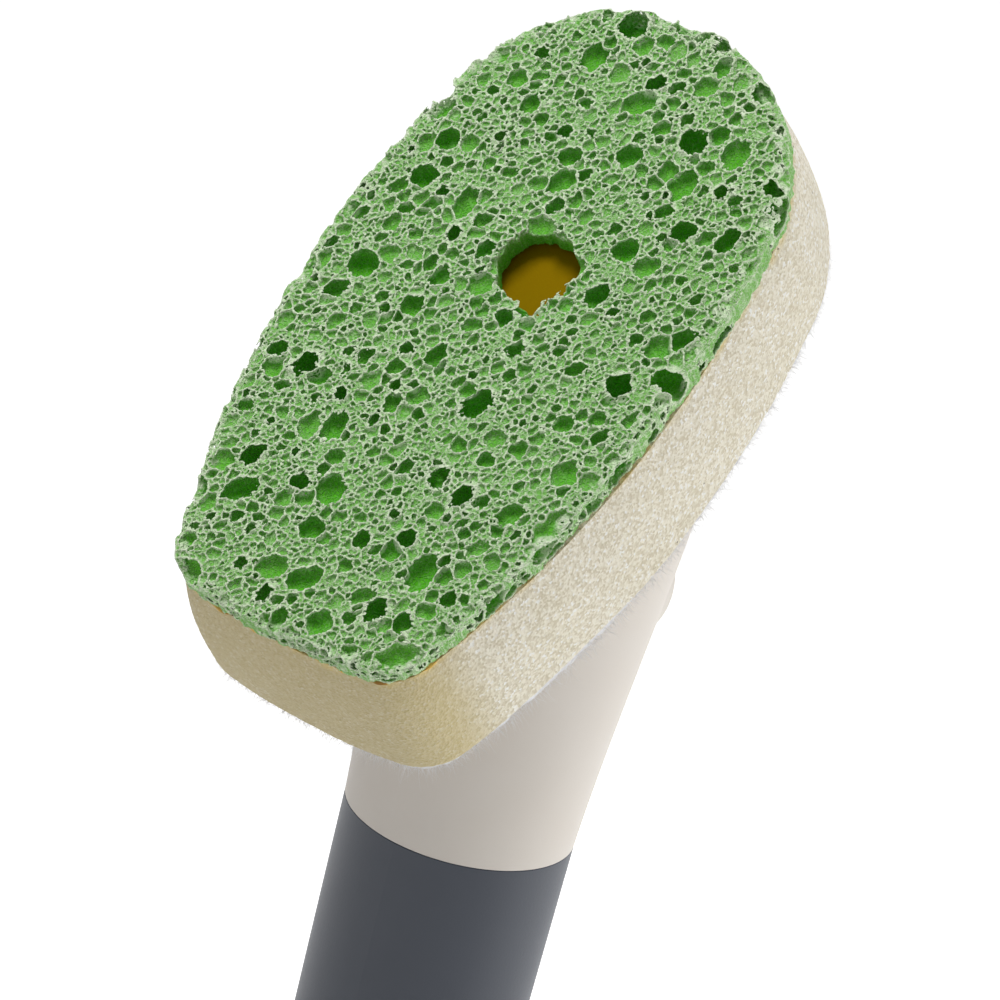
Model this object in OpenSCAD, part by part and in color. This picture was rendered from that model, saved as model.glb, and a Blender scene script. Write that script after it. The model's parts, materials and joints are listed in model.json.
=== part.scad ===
// Soap-dispensing dish wand: a bottle handle, a pump in the neck and a sponge refill on an angled head.
// Millimetres. +Z runs up the handle towards the head, +X is the side that the sponge faces,
// and the origin is the middle of the flat base of the end cap.

/* [Head] */
// Angle between the handle's axis and the scrubbing face
head_angle = 45; // [40:1:52]
// Radius of the refill's round end
tip_r = 27; // [24:0.5:32]
// From the outlet to the middle of the round end
tip_offset = 15.7; // [12:0.1:24]
// From the outlet to the middle of the heel's corners
heel_offset = 56.6; // [50:0.1:70]
// Half the distance between the heel's corners
heel_half_w = 13.7; // [11:0.1:18]
// Radius of the heel's corners
corner_r = 7; // [5:0.5:10]
// Radius of the bowed long sides
side_r = 150; // [120:1:300]
// Radius of the bowed heel
heel_r = 110; // [60:1:300]
// Thickness of the head plate
plate_t = 3; // [2.4:0.1:4]
// How far the head plate stops short of the refill's edge
plate_inset = 6; // [5:0.1:7]
// Height of the lip round the hook pad
lip_h = 0.9; // [0.5:0.1:1.3]
// Width of the lip round the hook pad
lip_w = 1.5; // [1:0.1:2.5]
// Depth of the rim and ribs behind the head plate
rim_h = 2; // [1:0.1:3]
// Thickness of the ribs behind the head plate
rib_t = 1.8; // [1.2:0.1:2.5]

/* [Refill] */
// Thickness of the hook pad
hook_t = 1.6; // [1.2:0.1:2.4]
// Thickness of the looped fabric
loop_t = 1.4; // [1:0.1:2]
// Thickness of the foam
foam_t = 22.6; // [16:0.1:30]
// Thickness of the glue film
glue_t = 0.5; // [0.3:0.1:0.8]
// Thickness of the scrub sponge
scrub_t = 4.5; // [3:0.1:8]
// Diameter of the hole in the scrub sponge
scrub_hole_d = 11; // [9:0.5:13]
// Diameter of the bore in the foam
foam_bore_d = 15.2; // [15:0.1:18]
// How far the foam and its backing stand out past the scrub sponge
foam_step = 1.2; // [0:0.1:2]

/* [Neck] */
// From the top of the grip to where the handle's axis meets the outlet's axis
neck_l = 71.5; // [68:0.5:80]
// Wall of the neck
neck_wall = 2; // [1.6:0.1:2.6]
// Half the length of the neck's oval mouth
mouth_a = 36; // [33:0.5:38]
// Half the width of the neck's oval mouth
mouth_b = 22; // [21:0.5:22.5]
// Shift of the mouth's middle towards the heel
mouth_shift = 4; // [2:0.5:6]
// Depth of the collar that holds the bottle
collar_l = 8; // [6:0.5:9]

/* [Grip] */
// Length of the grip sleeve
grip_l = 107.2; // [90:0.1:130]
// Thickness of the grip sleeve where it meets the neck
sleeve_top_t = 2.8; // [2.4:0.1:4]
// Thickness of the grip sleeve at its lower end
sleeve_end_t = 1; // [1:0.1:2]

/* [Bottle] */
// Outer diameter of the soap bottle
bottle_d = 28.4; // [26:0.1:30]
// Wall of the soap bottle
bottle_wall = 1.6; // [1.2:0.1:2]
// How far the screw finish steps in from the bottle's side
finish_step = 1.6; // [1.4:0.1:2]
// Length of the bottle's screw finish
finish_l = 11.2; // [9:0.1:14]
// How far the spigot at the bottle's top steps in from its side
spigot_step = 1.4; // [1.2:0.1:2]
// Height of the spigot at the bottle's top
spigot_l = 10; // [9.5:0.5:11]
// Height of the nozzle on the bottle's top
nozzle_l = 6; // [5:0.5:7]
// Outer radius of the nozzle
nozzle_r = 4; // [3.4:0.1:4.2]
// Radius of the nozzle's bore
nozzle_bore_r = 2; // [1.5:0.1:2.4]

/* [End cap] */
// Height of the end cap
cap_h = 33.5; // [31:0.5:38]
// How much narrower the flat base is than the cap
base_step = 0.7; // [0.4:0.1:1.6]
// Thickness of the web that the hanging hole goes through
web_t = 6.4; // [5:0.1:8]
// Radius of the finger scoops
scoop_r = 9; // [8:0.1:9.4]
// Height of the hanging hole above the base
hang_z = 10.5; // [10:0.1:11]
// Diameter of the hanging hole
hang_d = 7; // [5:0.1:8]
// Number of grip flutes round the cap
flutes = 26; // [12:1:40]
// Radius of each flute
flute_r = 0.8; // [0.5:0.1:1]
// Thickness of the seal ring
seal_t = 1.2; // [0.8:0.1:2]

/* [Pump] */
// From the top of the grip to the pump's axis
button_h = 35; // [34:0.5:37]
// From the handle's axis to the face of the button turret
turret_reach = 23; // [22.5:0.1:25]
// Wall of the turret round the button
turret_wall = 2; // [1.6:0.1:2.4]
// Thickness of the button's skirt
button_skirt_t = 1.4; // [1.2:0.1:1.6]
// How far the button stands out of the turret
button_proud = 5; // [4.8:0.1:6]
// How far the button goes in
press_travel = 3.5; // [2.5:0.1:3.6]
// Radius of the pump's bore
pump_bore_r = 5.6; // [5:0.1:5.8]
// Wall of the pump barrel
pump_wall = 1.4; // [1.2:0.1:1.6]
// Turns of the pump spring
spring_turns = 5; // [4:1:6]
// Radius of the spring's wire
spring_wire_r = 0.4; // [0.3:0.05:0.5]
// Radius of the check ball
ball_r = 2.25; // [2:0.05:2.5]
// How far the check ball lifts
ball_lift = 1.5; // [1:0.1:2]

/* [Outlet] */
// Outer radius of the spout
spout_r = 4.6; // [4:0.1:4.8]
// Radius of the spout's bore
spout_bore_r = 2.4; // [2:0.1:3]
// Outer radius of the outlet valve
outlet_r = 7; // [6.6:0.1:7.2]
// Inner radius of the soap tube
tube_r = 3.2; // [2.6:0.1:3.4]
// Wall of the soap tube
tube_wall = 1.4; // [1:0.1:1.6]

/* [Hidden] */
$fn = 64;
part_gap = 0.3;      // between parts that move past each other or part at a seam
face_gap = 0.05;     // between flat faces that press together
run_gap = 0.05;      // radial clearance of a sliding fit
over = 1;            // how far a cutter runs past a face

grip_z = cap_h + part_gap;
neck_z = grip_z + grip_l;
head_z = neck_z + neck_l;
bottle_r = bottle_d / 2;
grip_r = bottle_r + sleeve_top_t;
grip_end_r = bottle_r + sleeve_end_t;
spigot_r = bottle_r - spigot_step;
tilt = 90 - head_angle;

// Levels of the refill, along the outlet's axis from the head plate's face
loop_z = hook_t + part_gap;
foam_z = loop_z + loop_t;
glue_z = foam_z + foam_t;
scrub_z = glue_z + glue_t;
face_z = scrub_z + scrub_t;

// Head outline: x runs towards the heel, y across. Each arc meets the next at a tangent.
least_corner_r = 2.5;
function arc(c, r, a0, a1, n) = [for (i = [0:n]) let (a = a0 + (a1 - a0) * i / n) c + r * [cos(a), sin(a)]];
function angle_of(v) = atan2(v[1], v[0]);
function side_centre(p, q, rp, rq) =
    let (d = norm(q - p), e = (q - p) / d, n = [-e[1], e[0]], a = (rp ^ 2 - rq ^ 2 + d ^ 2) / (2 * d))
    p + a * e - sqrt(rp ^ 2 - a ^ 2) * n;
function half_outline(inset) =
    let (cr = max(corner_r - inset, least_corner_r),
         pull = cr - (corner_r - inset),
         p = [-tip_offset, 0],
         q = [heel_offset - pull, heel_half_w - pull],
         c = side_centre(p, q, side_r - tip_r, side_r - inset - cr),
         k = [q[0] - sqrt((heel_r - inset - cr) ^ 2 - q[1] ^ 2), 0],
         a_tip = angle_of(p - c), a_side = angle_of(q - c), a_heel = angle_of(q - k))
    concat(arc(p, tip_r - inset, 180, a_tip, 16), arc(c, side_r - inset, a_tip, a_side, 12),
           arc(q, cr, a_side, a_heel, 6), arc(k, heel_r - inset, a_heel, 0, 4));
function mirrored(half) = concat(half, [for (i = [len(half) - 2:-1:1]) [half[i][0], -half[i][1]]]);
module outline(inset = 0) {
    polygon(mirrored(half_outline(inset)));
}

// A point given in the head's axes, taken to the object's axes
function head_point(p) =
    [p[0] * cos(tilt) + p[2] * sin(tilt), p[1], head_z - p[0] * sin(tilt) + p[2] * cos(tilt)];
module on_head() {
    translate([0, 0, head_z]) rotate([0, tilt, 0]) children();
}

// Tube along Z
module tube(r, bore, h) {
    difference() {
        cylinder(r = r, h = h);
        translate([0, 0, -over]) cylinder(r = bore, h = h + 2 * over);
    }
}

// Rod along Z whose lower end is a half ball round z0
module round_rod(r, z0, z1) {
    rotate_extrude() polygon(concat(arc([0, z0], r, -90, 0, 10), [[r, z1], [0, z1]]));
}

// Pump: depths run inwards from the turret's face along the pump's axis
module on_pump(depth = 0) {
    translate([depth - turret_reach, 0, button_z]) rotate([0, 90, 0]) children();
}
button_z = neck_z + button_h;
ring_flange_t = 1.2;
ring_skirt_l = 2;
barrel_r = pump_bore_r + pump_wall;
skirt_bore_r = barrel_r + 2 * part_gap;
button_r = skirt_bore_r + button_skirt_t;
turret_bore_r = button_r + 1;
turret_r = turret_bore_r + turret_wall;
flange_t = 1.2;
button_wall = 1.5;
button_flange_d = ring_skirt_l + part_gap;
stop_gap = 1;
barrel_flange_d = button_flange_d + flange_t + press_travel + stop_gap;
barrel_flange_t = 2;
shoulder_d = barrel_flange_d + barrel_flange_t;
shoulder_t = 2;
barrel_open_d = 5.5;
bore_end_d = 22;
barrel_end_d = bore_end_d + 2;
port_d = 19;
port_x = port_d - turret_reach;
port_r = 1.6;
rod_r = 2;
head_d = 8;
head_l = 3;
piston_r = pump_bore_r - 0.15;
groove_r = piston_r - 0.9;
spring_d = head_d + head_l;
spring_r = pump_bore_r - spring_wire_r - 0.8;

// Inlet, up the port's axis
nozzle_top = neck_z + spigot_l + nozzle_l;
seat_z = nozzle_top + 2;
ball_z = seat_z + sqrt(ball_r ^ 2 - port_r ^ 2) + face_gap;
stub_z = ball_z + ball_r + ball_lift + face_gap;
stub_r = 4.2;
valve_r = 5.8;
valve_z = neck_z + spigot_l + 1;
valve_top = button_z - barrel_r - 1;
chamber_r = ball_r + 0.65;

// Outlet, up the port's axis to the elbow, then along the outlet's axis
elbow_t = port_x / sin(tilt);
elbow_z = head_z + elbow_t * cos(tilt);
tube_z = button_z + barrel_r + 1;
tube_top = elbow_z - spout_r - 0.1;
tube_grip = 0.3 * (tube_top - tube_z);
outlet_stub_top = tube_z + tube_grip;
barb_z = tube_top - tube_grip;
spout_flange_r = 7;
spout_flange_t = 1.6;
spout_rim_r = spout_r + 1;
spout_rim_t = 1.4;
disc_t = 1.3;
disc_z = glue_z - part_gap - disc_t;
spout_end = disc_z - face_gap;

// End cap
seal_z = cap_h - 12.2;
rim_z = seal_z + seal_t + 2 * face_gap;
finish_r = bottle_r - finish_step;
finish_top = rim_z + finish_l;
finish_bore_r = finish_r - bottle_wall;
cap_bore_r = finish_r + 0.15;
seal_bore_r = finish_bore_r - 0.4;
scoop_x = web_t / 2 + scoop_r;
vent_r = 0.9;
vent_head_r = 3;
vent_head_t = 0.9;
vent_gap = 0.6;
vent_x = seal_bore_r - vent_head_r - vent_gap;

// Screw cap: a web between two finger scoops holds the hanging hole, and fine flutes ring the skirt
base_round = 1.4;
skirt_round = 0.8;
flute_l = 9;
flute_lift = 0.7;
module end_cap() {
    color("dimgray") difference() {
        rotate_extrude() {
            polygon(concat([[0, 0]],
                arc([grip_end_r - base_step - base_round, base_round], base_round, -90, 0, 6),
                arc([grip_end_r - skirt_round, cap_h - skirt_round], skirt_round, 0, 90, 6),
                [[0, cap_h]]));
        }
        translate([0, 0, seal_z]) cylinder(r = cap_bore_r, h = cap_h);
        for (side = [-1, 1]) translate([side * scoop_x, 0, hang_z]) sphere(r = scoop_r);
        translate([-grip_r, 0, hang_z]) rotate([0, 90, 0]) cylinder(d = hang_d, h = 2 * grip_r);
        translate([vent_x, 0, hang_z]) cylinder(r = vent_r, h = seal_z);
        for (i = [0:flutes - 1]) {
            rotate([0, 0, (i + 0.5) * 360 / flutes])
                translate([grip_end_r + flute_r * 0.55, 0, seal_z + flute_lift]) cylinder(r = flute_r, h = flute_l);
        }
    }
}

// Umbrella valve that lets air in as soap goes out
module vent_valve() {
    web_z = hang_z + sqrt(scoop_r ^ 2 - (scoop_x - vent_x) ^ 2);
    bulb_drop = 1.6;
    color("whitesmoke") translate([vent_x, 0, 0]) {
        translate([0, 0, seal_z + face_gap]) cylinder(r1 = vent_head_r, r2 = vent_head_r - 0.5, h = vent_head_t);
        translate([0, 0, web_z - bulb_drop / 2]) cylinder(r = vent_r - run_gap, h = seal_z - web_z + bulb_drop / 2 + 0.1);
        translate([0, 0, web_z - bulb_drop]) sphere(r = vent_r + 0.2);
    }
}

module cap_seal() {
    color("darkslategray") translate([0, 0, seal_z + face_gap])
        tube(cap_bore_r - part_gap, seal_bore_r, seal_t);
}

// Bottle: screw finish, straight body, spigot and an off-centre nozzle, all in one wall
module soap_bottle() {
    body_bore_r = bottle_r - bottle_wall;
    top = neck_z + spigot_l;
    color("white") difference() {
        union() {
            rotate_extrude() polygon([[finish_bore_r, rim_z], [finish_r, rim_z], [finish_r, finish_top],
                [bottle_r, finish_top], [bottle_r, neck_z], [spigot_r, neck_z], [spigot_r, top], [0, top],
                [0, top - bottle_wall], [spigot_r - bottle_wall, top - bottle_wall],
                [spigot_r - bottle_wall, neck_z - 2 * bottle_wall], [body_bore_r, neck_z - 4 * bottle_wall],
                [body_bore_r, finish_top + 2 * bottle_wall], [finish_bore_r, finish_top]]);
            translate([port_x, 0, top - bottle_wall / 2]) cylinder(r = nozzle_r, h = nozzle_l + bottle_wall / 2);
        }
        translate([port_x, 0, top - 2 * bottle_wall]) cylinder(r = nozzle_bore_r, h = nozzle_l + 4 * bottle_wall);
    }
}

// Soft sleeve over the bottle, flush with the neck and with the cap
module grip_sleeve() {
    edge = 0.4;
    color("slategray") rotate_extrude() polygon([[bottle_r, grip_z], [grip_end_r - edge, grip_z],
        [grip_end_r, grip_z + edge], [grip_r, neck_z - edge / 2], [grip_r - edge / 2, neck_z], [bottle_r, neck_z]]);
}

// Neck: a loft from the round handle to the oval mouth behind the head plate.
// Every line of it is a Bezier curve that leaves the grip along the handle and meets the plate square at the front.
neck_sides = 60;
neck_rings = 14;
neck_rise = 24;
neck_spread = 0.05;
neck_flare = 16;
function bezier(a, b, c, d, t) =
    (1 - t) ^ 3 * a + 3 * t * (1 - t) ^ 2 * b + 3 * t ^ 2 * (1 - t) * c + t ^ 3 * d;
function flare_dir(phi) =
    let (share = (1 + cos(phi)) / 2, v = [share * sin(tilt), 0, 1 - share + share * cos(tilt)])
    v / norm(v);
function neck_line(phi, t, depth) =
    let (start = [(grip_r - depth) * cos(phi), (grip_r - depth) * sin(phi), neck_z],
         end = head_point([mouth_shift + (mouth_a - depth) * cos(phi), (mouth_b - depth) * sin(phi), -plate_t]))
    bezier(start, start + neck_rise * [neck_spread * cos(phi), neck_spread * sin(phi), 1],
           end - neck_flare * flare_dir(phi), end, t);
function neck_skin(depth, t0, rings) = [for (j = [0:rings]) for (i = [0:neck_sides - 1])
    neck_line(i * 360 / neck_sides, t0 + (1 - t0) * j / rings, depth)];
function skin_faces(first, rings, sides, out) = [for (j = [0:rings - 1]) for (i = [0:sides - 1])
    let (a = first + j * sides + i, b = first + j * sides + (i + 1) % sides, c = b + sides, d = a + sides)
    each out ? [[a, d, c], [a, c, b]] : [[a, c, d], [a, b, c]]];
function end_faces(outer, inner, sides, up) = [for (i = [0:sides - 1])
    let (a = outer + i, b = outer + (i + 1) % sides, c = inner + (i + 1) % sides, d = inner + i)
    each up ? [[a, d, c], [a, c, b]] : [[a, c, d], [a, b, c]]];
module neck_shell(depth, wall, t0, rings) {
    count = neck_sides * (rings + 1);
    last = neck_sides * rings;
    polyhedron(
        points = concat(neck_skin(depth, t0, rings), neck_skin(depth + wall, t0, rings)),
        faces = concat(skin_faces(0, rings, neck_sides, true),
                       skin_faces(count, rings, neck_sides, false),
                       end_faces(0, count, neck_sides, false),
                       end_faces(last, count + last, neck_sides, true)),
        convexity = 6);
}
module neck_housing() {
    color("white") difference() {
        union() {
            neck_shell(0, neck_wall, 0, neck_rings);
            translate([0, 0, neck_z]) tube(grip_r - neck_wall / 2, spigot_r, collar_l);
            on_pump() cylinder(r = turret_r, h = shoulder_d + shoulder_t);
        }
        on_pump() translate([0, 0, -over]) cylinder(r = turret_bore_r, h = shoulder_d + over);
        on_pump() translate([0, 0, shoulder_d - over]) cylinder(r = barrel_r, h = shoulder_t + 2 * over);
    }
}

// Valve body: grips the bottle's nozzle below and the barrel's stub above, with the ball seat between
module inlet_valve_body() {
    color("lightgray") translate([port_x, 0, 0]) difference() {
        translate([0, 0, valve_z]) cylinder(r = valve_r, h = valve_top - valve_z);
        translate([0, 0, valve_z - over]) cylinder(r = nozzle_r, h = nozzle_top - valve_z + over);
        translate([0, 0, nozzle_top - over]) cylinder(r = port_r, h = seat_z - nozzle_top + 2 * over);
        translate([0, 0, seat_z]) cylinder(r = chamber_r, h = valve_top);
        translate([0, 0, stub_z]) cylinder(r = stub_r, h = valve_top);
    }
}

module inlet_ball() {
    color("silver") translate([port_x, 0, ball_z]) sphere(r = ball_r);
}

// Pump barrel: an open cylinder with a flange on the turret's shoulder and a port stub above and below
module pump_barrel() {
    slot_w = 1.2;
    color("lightgray") difference() {
        union() {
            on_pump(barrel_open_d) cylinder(r = barrel_r, h = barrel_end_d - barrel_open_d);
            on_pump(barrel_flange_d) cylinder(r = turret_bore_r, h = shoulder_d - barrel_flange_d);
            translate([port_x, 0, stub_z]) cylinder(r = stub_r, h = button_z - stub_z);
            translate([port_x, 0, button_z]) cylinder(r = tube_r, h = outlet_stub_top - button_z);
        }
        on_pump(barrel_open_d - over) cylinder(r = pump_bore_r, h = bore_end_d - barrel_open_d + over);
        translate([port_x, 0, stub_z - over]) cylinder(r = port_r, h = outlet_stub_top - stub_z + 2 * over);
        for (turn = [0, 90]) translate([port_x, 0, stub_z]) rotate([0, 0, turn])
            cube([2 * chamber_r, slot_w, 2], center = true);
    }
}

// Compression spring between the piston and the closed end of the barrel
spring_sides = 6;
spring_steps = 14;
module pump_spring() {
    span = bore_end_d - spring_d - 2 * (spring_wire_r + face_gap);
    count = spring_turns * spring_steps;
    function ring(k) = let (a = 360 * k / spring_steps, z = span * k / count)
        [for (i = [0:spring_sides - 1]) let (b = 360 * i / spring_sides, r = spring_r + spring_wire_r * cos(b))
            [r * cos(a), r * sin(a), z + spring_wire_r * sin(b)]];
    points = [for (k = [0:count]) each ring(k)];
    color("gainsboro") on_pump(spring_d + spring_wire_r + face_gap) polyhedron(
        points = points,
        faces = concat(skin_faces(0, count, spring_sides, true),
                       [[for (i = [0:spring_sides - 1]) i]],
                       [[for (i = [spring_sides - 1:-1:0]) count * spring_sides + i]]),
        convexity = 10);
}

module pump_piston() {
    color("white") on_pump() difference() {
        union() {
            translate([0, 0, button_wall - button_proud]) cylinder(r = rod_r, h = head_d + button_proud - button_wall);
            translate([0, 0, head_d]) cylinder(r = piston_r, h = head_l);
        }
        translate([0, 0, head_d + head_l / 3]) tube(pump_bore_r, groove_r, head_l / 3);
    }
}

module piston_seal() {
    color("black") on_pump(head_d + head_l / 3) tube(pump_bore_r - run_gap, groove_r, head_l / 3);
}

// Push button: a domed cap with a skirt, a flange that the ring holds back and a socket for the piston's rod
module pump_button() {
    dome_rise = 0.7;
    edge = 1;
    socket_l = 4;
    flange_r = turret_bore_r - 0.2;
    skirt_end = button_flange_d + flange_t;
    dome_r = ((button_r - edge) ^ 2 + dome_rise ^ 2) / (2 * dome_rise);
    dome_a = asin((button_r - edge) / dome_r);
    color("slategray") on_pump() difference() {
        union() {
            rotate_extrude() polygon(concat(
                arc([0, dome_r - button_proud], dome_r, -90, -90 + dome_a, 8),
                arc([button_r - edge, edge + dome_rise - button_proud], edge, -90, 0, 5),
                [[button_r, button_flange_d], [flange_r, button_flange_d], [flange_r, skirt_end],
                 [skirt_bore_r, skirt_end], [skirt_bore_r, button_wall - button_proud],
                 [0, button_wall - button_proud]]));
            translate([0, 0, button_wall - button_proud - 0.2]) cylinder(r = rod_r + 1.2, h = socket_l);
        }
        translate([0, 0, button_wall - button_proud]) cylinder(r = rod_r, h = socket_l + over);
    }
}

module button_ring() {
    inner_r = button_r + 0.3;
    color("gainsboro") on_pump() difference() {
        union() {
            translate([0, 0, -ring_flange_t])
                cylinder(r1 = turret_r - 1, r2 = turret_r - 0.4, h = ring_flange_t);
            cylinder(r = turret_bore_r, h = ring_skirt_l);
        }
        translate([0, 0, -ring_flange_t - over]) cylinder(r = inner_r, h = ring_flange_t + ring_skirt_l + 2 * over);
    }
}

module soap_tube() {
    color("ghostwhite") translate([port_x, 0, tube_z]) tube(tube_r + tube_wall, tube_r, tube_top - tube_z);
}

// Spout: a barb down into the soap tube, an elbow and a straight run through the plate and the foam
module spout() {
    color("white") difference() {
        union() {
            translate([port_x, 0, barb_z]) cylinder(r = tube_r, h = elbow_z - barb_z);
            on_head() round_rod(spout_r, elbow_t, spout_end);
            on_head() translate([0, 0, -plate_t - spout_flange_t]) cylinder(r = spout_flange_r, h = spout_flange_t);
            on_head() translate([0, 0, spout_end - spout_rim_t]) cylinder(r = spout_rim_r, h = spout_rim_t);
        }
        translate([port_x, 0, barb_z - over]) cylinder(r = spout_bore_r - 0.4, h = elbow_z - barb_z + over);
        on_head() round_rod(spout_bore_r, elbow_t, spout_end + over);
    }
}

// Outlet valve: a rubber cap snapped over the spout's rim
module outlet_valve() {
    skirt_l = spout_rim_t + 1.2;
    color("goldenrod") on_head() difference() {
        translate([0, 0, spout_end - skirt_l]) cylinder(r = outlet_r, h = disc_z + disc_t - spout_end + skirt_l);
        translate([0, 0, spout_end - spout_rim_t]) cylinder(r = spout_rim_r, h = spout_rim_t + face_gap);
        translate([0, 0, spout_end - skirt_l - over]) cylinder(r = spout_r, h = skirt_l);
    }
}

// Head plate: paddle with a lip for the hook pad, and behind it ribs and a ring that plugs the neck's mouth
module head_plate() {
    plug_gap = 0.1;
    plug_wall = 1.6;
    plug_start = 1 - rim_h / (3 * neck_flare);
    heel_end = heel_offset + corner_r - plate_inset;
    color("white") difference() {
        union() {
            neck_shell(neck_wall + plug_gap, plug_wall, plug_start, 1);
            on_head() translate([0, 0, -plate_t]) linear_extrude(plate_t) outline(plate_inset);
            on_head() linear_extrude(lip_h) difference() {
                outline(plate_inset);
                outline(plate_inset + lip_w);
            }
            on_head() for (y = [-1, 0, 1]) {
                rib_x = mouth_shift + mouth_a * (y == 0 ? 1 : 0.86) + 0.6;
                translate([rib_x, y * mouth_b / 2 - rib_t / 2, -plate_t]) rotate([-90, 0, 0])
                    linear_extrude(rib_t) polygon([[0, 0], [heel_end - 4 * abs(y) - rib_x, 0], [0, 2 * rim_h]]);
            }
        }
        on_head() translate([0, 0, -plate_t - over]) cylinder(r = spout_r, h = plate_t + 2 * over);
    }
}

module hook_pad() {
    color("lightgray") on_head() difference() {
        linear_extrude(hook_t) outline(plate_inset + lip_w + 0.1);
        translate([0, 0, -over]) cylinder(r = spout_r + 0.6, h = hook_t + 2 * over);
    }
}

// One layer of the refill, with its hole round the outlet
module layer(z, t, hole_r, inset = 0) {
    on_head() translate([0, 0, z]) difference() {
        linear_extrude(t) outline(inset);
        translate([0, 0, -over]) cylinder(r = hole_r, h = t + 2 * over);
    }
}

module loop_backing() {
    color("white") layer(loop_z, loop_t, foam_bore_d / 2, -foam_step);
}

module foam_block() {
    color("cornsilk") layer(foam_z, foam_t, foam_bore_d / 2, -foam_step);
}

module glue_film() {
    set_back = 0.4;
    color("darkgoldenrod") layer(glue_z, glue_t, scrub_hole_d / 2, set_back);
}

module scrub_sponge() {
    color("limegreen") layer(scrub_z, scrub_t, scrub_hole_d / 2);
}

end_cap();
vent_valve();
cap_seal();
soap_bottle();
grip_sleeve();
neck_housing();
inlet_valve_body();
inlet_ball();
pump_barrel();
pump_spring();
pump_piston();
piston_seal();
pump_button();
button_ring();
soap_tube();
spout();
outlet_valve();
head_plate();
hook_pad();
loop_backing();
foam_block();
glue_film();
scrub_sponge();
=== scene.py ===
# Dish wand: the looks of a soap-dispensing sponge on a bottle handle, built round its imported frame.
import math
import json

import bmesh
import bpy
import numpy as np
import openvdb
from mathutils import Matrix, Vector, noise

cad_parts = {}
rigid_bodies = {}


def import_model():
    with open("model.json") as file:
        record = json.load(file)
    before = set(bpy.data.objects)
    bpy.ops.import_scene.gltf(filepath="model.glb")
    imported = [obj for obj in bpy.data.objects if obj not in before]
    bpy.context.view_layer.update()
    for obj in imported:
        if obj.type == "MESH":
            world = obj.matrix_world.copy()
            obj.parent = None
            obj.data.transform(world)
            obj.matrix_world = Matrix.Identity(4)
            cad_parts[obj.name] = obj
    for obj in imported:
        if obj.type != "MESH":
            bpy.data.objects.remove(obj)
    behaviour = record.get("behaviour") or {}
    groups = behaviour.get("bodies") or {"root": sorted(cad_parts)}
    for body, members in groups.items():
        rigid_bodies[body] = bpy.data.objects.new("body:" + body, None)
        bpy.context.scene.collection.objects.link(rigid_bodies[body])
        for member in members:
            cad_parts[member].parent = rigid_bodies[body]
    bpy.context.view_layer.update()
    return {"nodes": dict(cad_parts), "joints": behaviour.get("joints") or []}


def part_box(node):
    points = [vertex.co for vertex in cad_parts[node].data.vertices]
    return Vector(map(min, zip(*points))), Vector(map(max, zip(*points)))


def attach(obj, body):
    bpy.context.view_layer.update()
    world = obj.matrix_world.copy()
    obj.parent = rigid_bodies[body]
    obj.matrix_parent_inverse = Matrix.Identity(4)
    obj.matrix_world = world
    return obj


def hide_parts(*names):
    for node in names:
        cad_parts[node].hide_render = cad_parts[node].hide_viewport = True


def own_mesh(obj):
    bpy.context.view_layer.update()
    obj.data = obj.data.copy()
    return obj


for leftover in list(bpy.data.objects):
    bpy.data.objects.remove(leftover)
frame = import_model()
mm = 0.001


# Camera: it looks down on the scrubbing face from the side of the head's right edge, with the wand
# leaning to the left of the picture, through a long lens that keeps the sides nearly parallel.
camera = bpy.data.objects.new("camera", bpy.data.cameras.new("camera"))
bpy.context.scene.collection.objects.link(camera)
bpy.context.scene.camera = camera
picture_right = Vector((-0.5428, 0.8073, 0.2317)).normalized()
picture_up = Vector((-0.2146, -0.4001, 0.8909))
to_viewer = picture_right.cross(picture_up).normalized()
picture_up = to_viewer.cross(picture_right)
camera_spot = Vector((1.3899, 0.7361, 0.8572))
camera.matrix_world = Matrix.Translation(camera_spot) @ Matrix(
    (picture_right, picture_up, to_viewer)).transposed().to_4x4()
camera.data.sensor_width = 36
camera.data.lens = 432
camera.data.clip_end = 20


# Soap bottle: blow-moulded in natural white plastic, the core that the sleeve and the neck are
# built round. Its screw finish takes the end cap. A finish here is a material written as sums on
# sockets, so that the same few words serve every piece.
def linear(red, green, blue):
    """A colour given as it looks on a screen, 0 to 255, as the numbers a shader takes."""
    parts = [c / 255 for c in (red, green, blue)]
    return tuple(c / 12.92 if c <= 0.04045 else ((c + 0.055) / 1.055) ** 2.4 for c in parts) + (1,)


class Field:
    """The output of a material's node, which takes part in Python sums."""

    def __init__(self, finish, socket):
        self.finish = finish
        self.socket = socket

    def sum(self, kind, *others):
        """A Math node of this kind over this output and the others."""
        return self.finish.node("ShaderNodeMath", {"operation": kind}, dict(enumerate((self,) + others)))

    def __add__(self, other):
        return self.sum("ADD", other)

    def __mul__(self, other):
        return self.sum("MULTIPLY", other)

    def __sub__(self, other):
        return self.sum("SUBTRACT", other)

    def __rsub__(self, other):
        return self.finish.node("ShaderNodeMath", {"operation": "SUBTRACT"}, {0: other, 1: self})

    def __truediv__(self, other):
        return self.sum("DIVIDE", other)

    __radd__ = __add__
    __rmul__ = __mul__

    def between(self, low, high):
        """0 below low, 1 above high and a smooth step between."""
        return self.finish.node("ShaderNodeMapRange", {"interpolation_type": "SMOOTHSTEP"},
                                {"Value": self, "From Min": low, "From Max": high})


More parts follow.
